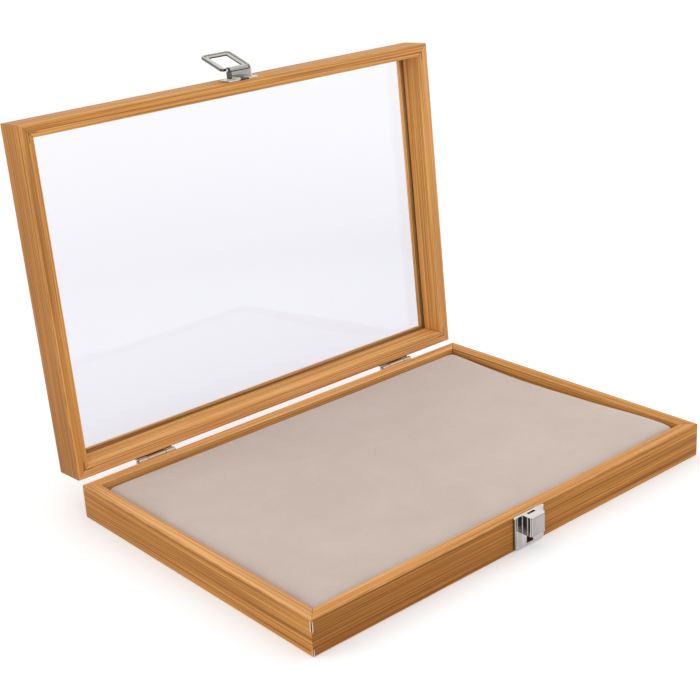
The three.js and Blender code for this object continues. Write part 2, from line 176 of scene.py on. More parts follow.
# ---- materials ----------------------------------------------------------------------------------
def oak_foil():
    """Printed oak foil: long straight grain lines over fine fibres, with short pores. UV 'foil' is in millimetres, u along the rail."""
    n = Nodes("oak_foil")
    uv = n.uv("foil")
    fibre = n.noise(n.scaled(uv, (0.010, 4.6, 1)), 1, 4, 0.66)
    streak = n.noise(n.scaled(uv, (0.0045, 1.25, 1), (3.3, 7.1, 0)), 1, 3, 0.62)
    broad = n.noise(n.scaled(uv, (0.0016, 0.20, 1), (9.2, 1.7, 0)), 1, 2, 0.5)
    pores = n.noise(n.scaled(uv, (0.08, 5.2, 1), (1.1, 4.4, 0)), 1, 2, 0.5)
    lines = n.noise(n.scaled(uv, (0.0050, 0.95, 1), (5.9, 2.2, 0)), 1, 1, 0.5)
    pale = n.noise(n.scaled(uv, (0.0046, 0.85, 1), (2.7, 8.3, 0)), 1, 1, 0.5)
    tone = n.math("ADD", n.math("MULTIPLY", fibre, 0.20), n.math("ADD", n.math("MULTIPLY", streak, 0.62), n.math("MULTIPLY", broad, 0.18)))
    base = n.ramp(tone, [
        (0.37, srgb(130, 78, 20)), (0.445, srgb(168, 106, 36)), (0.50, srgb(193, 129, 52)),
        (0.555, srgb(209, 147, 68)), (0.63, srgb(222, 164, 88)),
    ])
    pore = n.range(pores, 0.60, 0.70, 0, 1)
    base = n.mix(n.math("MULTIPLY", pore, 0.34), base, srgb(136, 80, 28))
    dark = n.range(lines, 0.56, 0.62, 0, 1)
    base = n.mix(n.math("MULTIPLY", dark, 0.72), base, srgb(138, 83, 22))
    light = n.range(pale, 0.59, 0.66, 0, 1)
    base = n.mix(n.math("MULTIPLY", light, 0.40), base, srgb(224, 170, 102))
    # each length of moulding carries painted light and shade, partly also the print's own tone: outer faces painted
    # darker and shaded along their length, rims and inner faces painted lighter
    print_and_painted_light = n.attribute("print_and_painted_light")
    grey = n.t.nodes.new("ShaderNodeCombineXYZ")
    for i, power in enumerate((1.0, 1.3, 2.4)):
        n.put(grey.inputs[i], n.math("POWER", print_and_painted_light, power))
    base = n.mix(1.0, base, grey.outputs[0], "MULTIPLY")
    # the rims are painted paler and whiter: a painted sheen of the overhead light
    painted_sheen = n.math("MULTIPLY", within(n, print_and_painted_light, 1.04, 1.20, 1.30, 1.34), 0.20)
    base = n.mix(painted_sheen, base, srgb(236, 190, 150))
    # the outer corners are rubbed a little paler
    worn = n.math("MULTIPLY", n.attribute("edge"), n.range(n.noise(n.scaled(uv, (0.06, 0.4, 1)), 1, 3), 0.35, 0.7, 0.1, 0.6))
    base = n.mix(worn, base, srgb(226, 176, 112))
    base = n.mix(n.attribute("torn"), base, srgb(234, 206, 182))  # paper showing where the foil has split
    height = n.math("SUBTRACT", n.math("MULTIPLY", fibre, 0.6), n.math("MULTIPLY", pore, 0.5))
    n.set(color=base, rough=n.range(fibre, 0.3, 0.7, 0.58, 0.46), spec=0.24, normal=n.bump(height, 0.30, 0.00012))
    return n.mat


def fibre_core(name="mdf_core", light=srgb(150, 116, 82), dark=srgb(112, 82, 55), scale=900):
    """Pressed fibreboard, seen at cut ends and in the grooves."""
    n = Nodes(name)
    c = n.object_coords()
    a, b = n.noise(c, scale, 4, 0.6), n.noise(c, scale * 0.12, 2, 0.5)
    n.set(color=n.ramp(n.math("ADD", n.math("MULTIPLY", a, 0.7), n.math("MULTIPLY", b, 0.3)), [(0.35, dark), (0.65, light)]),
          rough=0.92, spec=0.2, normal=n.bump(a, 0.5, 0.0002))
    return n.mat


def hardboard():
    """Bottom board: smooth brown hardboard, slightly mottled, with fine fibres."""
    n = Nodes("hardboard")
    c = n.object_coords()
    fine, blot = n.noise(c, 700, 5, 0.65), n.noise(c, 28, 3, 0.5, 0.6)
    flecks = n.noise(n.scaled(c, (260, 900, 400)), 1, 2, 0.5)
    tone = n.math("ADD", n.math("MULTIPLY", fine, 0.5), n.math("MULTIPLY", blot, 0.5))
    base = n.ramp(tone, [(0.36, srgb(112, 78, 50)), (0.5, srgb(140, 101, 67)), (0.64, srgb(160, 120, 84))])
    base = n.mix(n.math("MULTIPLY", n.range(flecks, 0.62, 0.72, 0, 1), 0.4), base, srgb(92, 62, 40))
    n.set(color=base, rough=n.range(blot, 0.3, 0.7, 0.62, 0.8), spec=0.3, normal=n.bump(fine, 0.3, 0.00015))
    return n.mat


def suede():
    """Pale warm-grey suede cloth: a short nap with faint brushed patches."""
    n = Nodes("suede")
    c = n.object_coords()
    nap = n.noise(c, 1900, 4, 0.7)
    fluff = n.noise(n.scaled(c, (620, 430, 500)), 1, 3, 0.6, 0.3)
    brushed = n.noise(c, 17, 3, 0.5, 0.8)
    patch = n.noise(c, 60, 3, 0.55, 0.5)
    tone = n.math("ADD", n.math("MULTIPLY", nap, 0.30), n.math("ADD", n.math("MULTIPLY", fluff, 0.22), n.math("ADD", n.math("MULTIPLY", brushed, 0.30), n.math("MULTIPLY", patch, 0.18))))
    base = n.ramp(tone, [(0.33, srgb(182, 166, 157)), (0.5, srgb(190, 174, 165)), (0.67, srgb(197, 182, 173))])
    n.set(color=base, rough=0.96, spec=0.12, sheen=0.35, sheen_rough=0.55, sheen_tint=srgb(240, 228, 216),
          normal=n.bump(n.math("ADD", n.math("MULTIPLY", nap, 0.6), n.math("MULTIPLY", fluff, 0.4)), 0.45, 0.00025))
    return n.mat


def foam():
    n = Nodes("foam_cells")
    c = n.object_coords()
    v = n.t.nodes.new("ShaderNodeTexVoronoi")
    n.link(c, v.inputs["Vector"])
    v.inputs["Scale"].default_value = 1300
    n.set(color=n.ramp(v.outputs[0], [(0.1, srgb(196, 190, 172)), (0.6, srgb(226, 222, 206))]), rough=0.98, spec=0.15,
          normal=n.bump(v.outputs[0], 0.6, 0.0004))
    return n.mat


def card():
    n = Nodes("grey_card")
    c = n.object_coords()
    a = n.noise(c, 1100, 5, 0.6)
    n.set(color=n.ramp(a, [(0.35, srgb(150, 141, 124)), (0.65, srgb(182, 173, 154))]), rough=0.95, spec=0.2, normal=n.bump(a, 0.3, 0.0001))
    return n.mat


def glass():
    """Clear float glass with a faint cool tint, painted darker towards its lower edge; lamps shine through it."""
    n = Nodes("clear_glass")
    c = n.object_coords()
    sep = n.t.nodes.new("ShaderNodeSeparateXYZ")
    n.link(c, sep.inputs[0])
    # painted shade: the tint darkens from the glass's top down to its lower edge
    n.set(color=n.ramp(n.range(sep.outputs["Z"], 0.04, 0.26, 0, 1), [(0.0, (0.788, 0.788, 0.840, 1)), (0.2, (0.820, 0.822, 0.874, 1)), (0.5, (0.880, 0.882, 0.932, 1)), (1.0, (0.940, 0.938, 0.972, 1))]), ior=1.38, trans=1.0)
    haze = n.noise(c, 9, 3, 0.5, 0.4)
    n.set(rough=n.range(haze, 0.45, 0.75, 0.0, 0.012))
    path = n.t.nodes.new("ShaderNodeLightPath")
    clear = n.t.nodes.new("ShaderNodeBsdfTransparent")
    clear.inputs[0].default_value = (0.95, 0.955, 0.975, 1)
    mix = n.t.nodes.new("ShaderNodeMixShader")
    n.link(path.outputs["Is Shadow Ray"], mix.inputs[0])
    n.link(n.p.outputs[0], mix.inputs[1])
    n.link(clear.outputs[0], mix.inputs[2])
    n.link(mix.outputs[0], n.out.inputs[0])
    return n.mat


def plated(name, tint, rough=(0.05, 0.16), grain=0.05, painted_dark_at=None):
    """Bright plated steel: faint smears and rub marks in the gloss; painted_dark_at gives the places where painted
    shade and dark reflections are laid on.
    """
    n = Nodes(name)
    c = n.object_coords()
    smear = n.noise(c, 160, 3, 0.55, 0.5)
    rub = n.noise(n.scaled(c, (3000, 500, 260)), 1, 3, 0.6)
    tone = n.math("ADD", n.math("MULTIPLY", smear, 0.6), n.math("MULTIPLY", rub, 0.4))
    dull = tuple(x * 0.86 for x in tint[:3]) + (1,)
    color = n.ramp(tone, [(0.35, dull), (0.6, tint)])
    if painted_dark_at:
        # painted shade and dark reflections, laid on in near-black where the given mask is high
        color = n.mix(painted_dark_at(n), color, (0.030, 0.034, 0.030, 1))
    n.set(color=color, metal=1.0, rough=n.range(tone, 0.35, 0.68, rough[0], rough[1]), normal=n.bump(rub, grain, 0.00005))
    return n.mat


def within(n, v, a, b, c, d):
    """One between b and c, falling to nothing at a and d."""
    return n.math("MULTIPLY", n.range(v, a, b, 0, 1), n.range(v, c, d, 1, 0))


def catch_painted_reflections(n):
    """Painted reflections and shadow on the catch: dark bands on the raised box's side walls, along its bends and brow
    and over its front and plate face, and a painted shadow along the plate's left edge.
    """
    sep = n.t.nodes.new("ShaderNodeSeparateXYZ")
    n.link(n.object_coords(), sep.inputs[0])
    x, z = sep.outputs["X"], sep.outputs["Z"]
    aside = n.math("ABSOLUTE", n.math("SUBTRACT", x, 0.0004))
    out = n.math("MULTIPLY_ADD", sep.outputs["Y"], -1.0, (SHIFT - DEPTH / 2) * 0.001)
    wall = within(n, aside, 0.00655, 0.00668, 0.00682, 0.00695)
    bands = n.math("MAXIMUM", within(n, out, 0.0019, 0.0024, 0.0052, 0.0057), within(n, out, 0.0063, 0.0067, 0.0082, 0.0088))
    wall = n.math("MULTIPLY", n.math("MULTIPLY", wall, bands), n.math("MULTIPLY", n.range(z, 0.0120, 0.0160, 0.6, 1.0), n.range(z, 0.0233, 0.0236, 1, 0)))
    bend = n.math("MULTIPLY", within(n, aside, 0.0058, 0.0061, 0.0063, 0.0066), n.range(out, 0.0083, 0.0085, 0, 0.8))
    brow = n.math("MULTIPLY", within(n, z, 0.0226, 0.0229, 0.0233, 0.0236), n.range(out, 0.0086, 0.0089, 0, 0.6))
    front = n.math("MULTIPLY", n.range(out, 0.0088, 0.0090, 0, 0.44), n.range(n.math("ADD", x, n.math("MULTIPLY", z, 0.25)), -0.004, 0.009, 1.0, 0.66))
    front = n.math("MULTIPLY", front, n.math("MULTIPLY", n.range(z, 0.0229, 0.0233, 1, 0), n.range(aside, 0.0055, 0.0058, 1, 0.1)))
    hem = n.math("MULTIPLY", n.range(x, -0.0126, -0.0124, 0.85, 0), n.range(x, -0.0131, -0.0128, 1, 1))
    inside = n.math("MULTIPLY", within(n, x, -0.0122, -0.0119, -0.0117, -0.0114), n.range(z, 0.0030, 0.0060, 0.2, 0.8))
    face = n.math("MULTIPLY", within(n, x, -0.0112, -0.0104, -0.0070, -0.0064), n.range(z, 0.0020, 0.0200, 0.12, 0.34))
    face = n.math("MULTIPLY", face, n.range(out, 0.0018, 0.0021, 1, 0))
    edge = n.math("MAXIMUM", n.math("MAXIMUM", hem, inside), face)
    edge = n.math("MULTIPLY", edge, n.range(z, 0.0226, 0.0230, 1, 0))
    return n.math("MAXIMUM", n.math("MAXIMUM", n.math("MAXIMUM", wall, bend), n.math("MAXIMUM", brow, front)), edge)


def bracket_painted_shade(n):
    """Painted shade and dark reflections inside the bracket's left ear, below its front wall and over the wall."""
    sep = n.t.nodes.new("ShaderNodeSeparateXYZ")
    n.link(n.object_coords(), sep.inputs[0])
    x, z = sep.outputs["X"], sep.outputs["Z"]
    ear = n.math("MULTIPLY", within(n, x, -0.0091, -0.0088, -0.0079, -0.0070), n.range(z, 0.2662, 0.2668, 0, 0.9))
    foot = n.math("MULTIPLY", within(n, x, -0.0010, -0.0004, 0.0040, 0.0046), n.range(z, 0.2668, 0.2672, 0.85, 0))
    wall = n.math("MULTIPLY", within(n, x, -0.0080, -0.0078, 0.0082, 0.0090), n.range(z, 0.2660, 0.2668, 0, 0.42))
    return n.math("MAXIMUM", n.math("MAXIMUM", ear, foot), wall)


def nail_steel():
    n = Nodes("nail_steel")
    c = n.object_coords()
    a = n.noise(c, 1500, 4, 0.6)
    n.set(color=n.ramp(a, [(0.35, srgb(118, 84, 50)), (0.65, srgb(170, 132, 88))]), metal=1.0, rough=n.range(a, 0.3, 0.7, 0.35, 0.6),
          normal=n.bump(a, 0.2, 0.0001))
    return n.mat


M_WOOD, M_CORE, M_BOARD, M_SUEDE = oak_foil(), fibre_core(), hardboard(), suede()
M_FOAM, M_CARD, M_GLASS = foam(), card(), glass()
M_NICKEL = plated("nickel_plate", srgb(200, 197, 190))
M_HINGE = plated("hinge_plate", srgb(200, 178, 156), (0.08, 0.2), 0.08)
M_CATCH = plated("catch_nickel", srgb(214, 208, 206), painted_dark_at=catch_painted_reflections)
M_BRACKET = plated("bracket_nickel", srgb(208, 203, 196), painted_dark_at=bracket_painted_shade)
M_LOOP = plated("loop_nickel", srgb(206, 202, 196), painted_dark_at=lambda n: n.attribute("painted_fold_lines"))
M_NAIL = nail_steel()


# ---- mesh helpers -------------------------------------------------------------------------------
def new_object(name, mesh):
    o = bpy.data.objects.new(name, mesh)
    scene.collection.objects.link(o)
    return o


def baked(o):
    """o's mesh with its modifiers applied."""
    dg = bpy.context.evaluated_depsgraph_get()
    dg.update()
    mesh = bpy.data.meshes.new_from_object(o.evaluated_get(dg), preserve_all_data_layers=True, depsgraph=dg)
    o.modifiers.clear()
    old = o.data
    o.data = mesh
    bpy.data.meshes.remove(old)
    return o


def smooth(o, angle=40):
    """Smooth shading with edges sharper than angle kept crisp."""
    mesh = o.data
    mesh.polygons.foreach_set("use_smooth", [True] * len(mesh.polygons))
    bm = bmesh.new()
    bm.from_mesh(mesh)
    limit = math.radians(angle)
    for e in bm.edges:
        e.smooth = len(e.link_faces) == 2 and e.calc_face_angle(0) < limit
    bm.to_mesh(mesh)
    bm.free()


def flat_sides(o):
    """Normals taken from the largest faces, so that flat sides stay flat and only the rounded edges turn."""
    w = o.modifiers.new("normals", "WEIGHTED_NORMAL")
    w.mode, w.weight, w.keep_sharp = "FACE_AREA", 50, True


def finish_piece(o, matrix, body, replaced, mats):
    o.data.transform(matrix)
    if not o.data.materials:
        for m in mats:
            o.data.materials.append(m)
    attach(o, body)
    if replaced:
        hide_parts(*([replaced] if isinstance(replaced, str) else replaced))
    return o


def box_object(name, lo, hi):
    mesh = bpy.data.meshes.new(name)
    bm = bmesh.new()
    bmesh.ops.create_cube(bm, size=1)
    for v in bm.verts:
        v.co = Vector([lo[i] + (v.co[i] + 0.5) * (hi[i] - lo[i]) for i in range(3)])
    bm.to_mesh(mesh)
    bm.free()
    return new_object(name, mesh)


def rod_object(name, a, b, r, seg=24):
    a, b = Vector(a), Vector(b)
    mesh = bpy.data.meshes.new(name)
    bm = bmesh.new()
    bmesh.ops.create_cone(bm, cap_ends=True, segments=seg, radius1=r, radius2=r, depth=(b - a).length)
    bm.transform(Matrix.Translation((a + b) / 2) @ (b - a).to_track_quat("Z", "Y").to_matrix().to_4x4())
    bm.to_mesh(mesh)
    bm.free()
    return new_object(name, mesh)


def joined(name, objects):
    """One mesh object holding several, for use as a cutter."""
    bm = bmesh.new()
    for o in objects:
        bm.from_mesh(o.data)
        mesh = o.data
        bpy.data.objects.remove(o)
        bpy.data.meshes.remove(mesh)
    mesh = bpy.data.meshes.new(name)
    bm.to_mesh(mesh)
    bm.free()
    return new_object(name, mesh)


def carve(o, cutter, mat=None):
    """o less cutter; the faces of the cut take mat."""
    if mat:
        cutter.data.materials.clear()
        cutter.data.materials.append(mat)
    m = o.modifiers.new("carve", "BOOLEAN")
    m.operation, m.solver, m.object = "DIFFERENCE", "EXACT", cutter
    m.use_hole_tolerant = True
    if mat:
        m.material_mode = "TRANSFER"
    baked(o)
    mesh = cutter.data
    bpy.data.objects.remove(cutter)
    bpy.data.meshes.remove(mesh)


# ---- mouldings ----------------------------------------------------------------------------------
def moulding_section(h, seg=4):
    """[(s, z, worn edge)] round the section: s in from the outer face, z up from the lipped edge; corners rounded."""
    def corner(cx, cz, r, start, mark):
        return [(cx + r * math.cos(math.radians(start + 90 * i / seg)), cz + r * math.sin(math.radians(start + 90 * i / seg)), mark) for i in range(seg + 1)]
    e, w, lw = EDGE, RAIL_T, RAIL_T + LIP
    pts = []
    pts += corner(e, e, e, 180, 1)                       # outer lower edge
    pts += [(e + 0.15, 0, 0), (lw - 0.6, 0, 0)]
    pts += corner(lw - 0.4, 0.4, 0.4, 270, 0.6)          # lip's inner edge
    pts += [(lw, LIP_H - 0.15, 0), (lw - 0.15, LIP_H, 0)]
    pts += [(w - KERF_D, LIP_H, 0), (w - KERF_D, LIP_H + KERF_H, 0)]
    pts += [(w - 0.15, LIP_H + KERF_H, 0), (w, LIP_H + KERF_H + 0.15, 0), (w, h - e - 0.15, 0)]
    pts += corner(w - e, h - e, e, 0, 1)                 # rim's inner edge
    pts += [(w - e - 0.15, h, 0), (e + 0.15, h, 0)]
    pts += corner(e, h - e, e, 90, 1)                    # rim's outer edge
    pts += [(0.0, z, 0) for z in (h - e - 0.15, *np.linspace(h - 1.8, 1.8, 12), e + 0.15)]
    return pts


SIDES = {"front": (WIDTH / 2, 0, DEPTH / 2), "right": (DEPTH / 2, 90, WIDTH / 2),
         "back": (WIDTH / 2, 180, DEPTH / 2), "left": (DEPTH / 2, -90, WIDTH / 2)}


def moulding(name, side, h, level, grain_at, open_ends=(None, None)):
    """A mitred rail wrapped in foil. open_ends give each end's gap as a function of (s, z)."""
    half, turn, out = SIDES[side]
    pts = moulding_section(h)
    n = len(pts)
    run = [0.0]
    for i in range(1, n + 1):
        a, b = pts[i - 1], pts[i % n]
        run.append(run[-1] + math.hypot(a[0] - b[0], a[1] - b[1]))
    cx = sum(p[0] for p in pts) / n
    cz = sum(p[1] for p in pts) / n

    def ring(end, back, shrink):
        found = []
        for s, z, _ in pts:
            gap = 0.07 if open_ends[0 if end < 0 else 1] is None else open_ends[0 if end < 0 else 1](s, z)
            # towards the middle of the section's own wall, so that the joint shows as a fine groove
            ds = shrink * (1 if s < 1.2 else (-1 if s > RAIL_T - 1.2 else 0))
            dz = shrink * (1 if z < 0.8 else (-1 if z > h - 0.8 else 0))
            found.append(Vector((end * (half - s - gap - back), s + ds - out, level(z + dz))))
        return found

    stations = [ring(-1, 0, 0.13), ring(-1, 0.14, 0), ring(-1, 0.55, 0), ring(-1, 0.9, 0), *[
        [Vector((x * (half - s - 0.3), s - out, level(z))) for s, z, _ in pts] for x in (-0.6, -0.2, 0.2, 0.6)
    ], ring(1, 0.9, 0), ring(1, 0.55, 0), ring(1, 0.14, 0), ring(1, 0, 0.13)]
    bm = bmesh.new()
    uv = bm.loops.layers.uv.new("foil")
    mark = bm.verts.layers.float.new("edge")
    torn = bm.verts.layers.float.new("torn")
    rows = []
    for at, st in enumerate(stations):
        row = [bm.verts.new(p) for p in st]
        for v, (s, z, worn) in zip(row, pts):
            v[mark] = worn
            end = 0 if at < 3 else (1 if at > len(stations) - 4 else None)
            if end is not None and open_ends[end] and s < 0.3:
                v[torn] = min(0.8, max(0.0, (open_ends[end](s, z) - 0.2) * 2.4))
        rows.append(row)
    for i in range(len(rows) - 1):
        for j in range(n):
            k = (j + 1) % n
            f = bm.faces.new((rows[i][j], rows[i][k], rows[i + 1][k], rows[i + 1][j]))
            for loop, (a, b) in zip(f.loops, ((i, j), (i, j + 1), (i + 1, j + 1), (i + 1, j))):
                x = rows[a][b % n].co.x
                loop[uv].uv = (x + grain_at[0], run[b] + grain_at[1])
            f.material_index = 0
    for row, flip in ((rows[0], True), (rows[-1], False)):
        f = bm.faces.new(row[::-1] if flip else row)
        f.material_index = 1
        for loop in f.loops:
            loop[uv].uv = (loop.vert.co.z, loop.vert.co.y)
    bmesh.ops.recalc_face_normals(bm, faces=bm.faces)
    bmesh.ops.triangulate(bm, faces=[f for f in bm.faces if len(f.verts) > 4])
    bm.transform(Matrix.Rotation(math.radians(turn), 4, "Z"))
    mesh = bpy.data.meshes.new(name)
    bm.to_mesh(mesh)
    bm.free()
    mesh.materials.append(M_WOOD)
    mesh.materials.append(M_CORE)
    return new_object(name, mesh)


def paint_print_and_light(o, side, h, level, print_and_painted_light):
    """Per-vertex attribute of painted light and shade, with some of the print's own tone: on the outer face at both
    ends, on the rim, and on the inner face.
    """
    half, turn, out = SIDES[side]
    back = Matrix.Rotation(-math.radians(turn), 4, "Z")
    layer = o.data.attributes.new("print_and_painted_light", "FLOAT", "POINT")
    values = np.ones(len(o.data.vertices), np.float32)
    for i, v in enumerate(o.data.vertices):
        q = back @ v.co
        depth, z, t = q.y + out, level(q.z), min(1, max(0, 0.5 + q.x / (2 * half)))
        if depth < 0.45:
            values[i] = print_and_painted_light[0] + (print_and_painted_light[1] - print_and_painted_light[0]) * t
        elif z > h - 0.2:
            values[i] = print_and_painted_light[2]
        elif depth > RAIL_T - 0.45 or z < 0.2:
            values[i] = print_and_painted_light[3]
    layer.data.foreach_set("value", values)


TRAY_NAIL_IN, LID_NAIL_IN, NAIL_LEG, NAIL_T, NAIL_DEPTH = 4.5, 5.5, 6.5, 0.5, 8.6
CORNERS = {"fl": (-1, -1), "fr": (1, -1), "bl": (-1, 1), "br": (1, 1)}
LATCH_X, HINGE_X, SCREW_DX = 0.4, 114.0, 10.0


def nail_slots(inset, z0, z1, grow):
    made = []
    for sx, sy in CORNERS.values():
        ax, ay = sx * (WIDTH / 2 - inset), sy * (DEPTH / 2 - inset)

        def span(a, s, u, v):
            return sorted((a - s * u, a - s * v))
        lx, ly = span(ax, sx, -grow, NAIL_LEG + grow), span(ay, sy, -grow, NAIL_T + grow)
        mx, my = span(ax, sx, -grow, NAIL_T + grow), span(ay, sy, -grow, NAIL_LEG + grow)
        made.append(box_object("cut", (lx[0], ly[0], z0), (lx[1], ly[1], z1)))
        made.append(box_object("cut", (mx[0], my[0] if sy > 0 else ly[1] + 0.001, z0), (mx[1], my[1] if sy < 0 else ly[0] - 0.001, z1)))
    return made


def slit(s, z):
    """The front left joint of the tray has opened at its top and at its foot, and is closed between."""
    outer = max(0.0, 1 - s / 3.2)
    above = min(1, max(0, (TRAY_H - 1.2 - z) / 0.6)) * min(1, max(0, (z - (TRAY_H - 9.0)) / 1.5))
    below = min(1, max(0, (6.2 - z) / 2.5))
    return 0.06 + outer * (0.54 * above + 0.40 * below)


# painted light and shade, with some of the print's own tone, on each length: outer face at both ends, rim, inner face
PRINT_AND_PAINTED_LIGHT = {
    "tray_moulding_front": (0.56, 0.90, 1.10, 1.05), "tray_moulding_left": (0.78, 0.90, 1.20, 1.05),
    "tray_moulding_back": (0.90, 0.90, 1.26, 1.16), "tray_moulding_right": (0.90, 0.85, 1.02, 1.08),
    "lid_moulding_front": (1.04, 1.04, 1.10, 1.10), "lid_moulding_left": (0.66, 0.83, 1.09, 1.12),
    "lid_moulding_back": (0.90, 0.90, 1.26, 1.52), "lid_moulding_right": (0.90, 0.90, 1.12, 1.36),
}


def rails():
    screw_x = [h * HINGE_X + s * SCREW_DX for h in (-1, 1) for s in (-1, 1)]
    made = {}
    for group, h, level, body, matrix in (
        ("tray", TRAY_H, lambda z: z, "tray_body", TRAY_M),
        ("lid", LID_H, lambda z: LID_TOP - z, "lid_body", LID_M),
    ):
        for k, side in enumerate(SIDES):
            ends = [None, None]
            if group == "tray" and side == "front":
                ends[0] = slit
            if group == "tray" and side == "left":
                ends[1] = slit
            name = f"{group}_moulding_{side}"
            o = moulding(name, side, h, level, (rng.uniform(0, 900), rng.uniform(0, 300)), ends)
            cutters = (
                nail_slots(TRAY_NAIL_IN, -1, NAIL_DEPTH + 0.2, 0.04)
                if group == "tray"
                else nail_slots(LID_NAIL_IN, RIM_Z - 1, RIM_Z + NAIL_DEPTH + 0.2, 0.04)
            )
            if side == "back":
                z = 13.4 if group == "tray" else 32.2
                cutters += [rod_object("cut", (x, DEPTH / 2 - 6.6, z), (x, DEPTH / 2 + 1.4, z), 1.15, 16) for x in screw_x]
            if side == "front" and group == "tray":
                cutters += [box_object("cut", (LATCH_X + s * 10 - 0.5, -DEPTH / 2 - 0.5, 10.9), (LATCH_X + s * 10 + 0.5, -DEPTH / 2 + 5.2, 13.1)) for s in (-1, 1)]
                cutters.append(box_object("cut", (LATCH_X - 3.6, -DEPTH / 2 - 0.5, 2.2), (LATCH_X + 3.6, -DEPTH / 2 + 4.2, 9.8)))
            if side == "front" and group == "lid":
                cutters += [rod_object("cut", (LATCH_X + s * 6.4, -DEPTH / 2 - 0.6, RIM_Z + 10.6), (LATCH_X + s * 6.4, -DEPTH / 2 + 6.3, RIM_Z + 10.6), 0.7, 16) for s in (-1, 1)]
            carve(o, joined("cutters", cutters), M_CORE)
            paint_print_and_light(o, side, h, level, PRINT_AND_PAINTED_LIGHT[name])
            smooth(o, 35)
            flat_sides(o)
            finish_piece(o, matrix, body, f"{group}_rail_{side}", [])
            made[name] = o
    return made


RAILS = rails()


# ---- glass and boards ---------------------------------------------------------------------------
def pane(name, half_x, half_y, z0, z1, bevel, mat, matrix, body, replaced, grid=1):
    mesh = bpy.data.meshes.new(name)
    bm = bmesh.new()
    bmesh.ops.create_cube(bm, size=1)
    for v in bm.verts:
        v.co = Vector((v.co.x * 2 * half_x, v.co.y * 2 * half_y, z0 + (v.co.z + 0.5) * (z1 - z0)))
    bmesh.ops.bevel(bm, geom=bm.edges[:], offset=bevel, segments=3, profile=0.6, affect="EDGES")
    bmesh.ops.recalc_face_normals(bm, faces=bm.faces)
    bm.to_mesh(mesh)
    bm.free()
    o = new_object(name, mesh)
    smooth(o, 40)
    flat_sides(o)
    return finish_piece(o, matrix, body, replaced, [mat])


IN_X, IN_Y = WIDTH / 2 - (RAIL_T - KERF_D) - 0.3, DEPTH / 2 - (RAIL_T - KERF_D) - 0.3
pane("lid_glass_pane", IN_X, IN_Y, LID_TOP - LIP_H - KERF_H + 0.3, LID_TOP - LIP_H - 0.3, 0.25, M_GLASS, LID_M, "lid_body", "lid_glass")
pane("bottom_board", IN_X, IN_Y, LIP_H + 0.15, LIP_H + KERF_H - 0.15, 0.2, M_BOARD, TRAY_M, "tray_body", "tray_bottom_board")


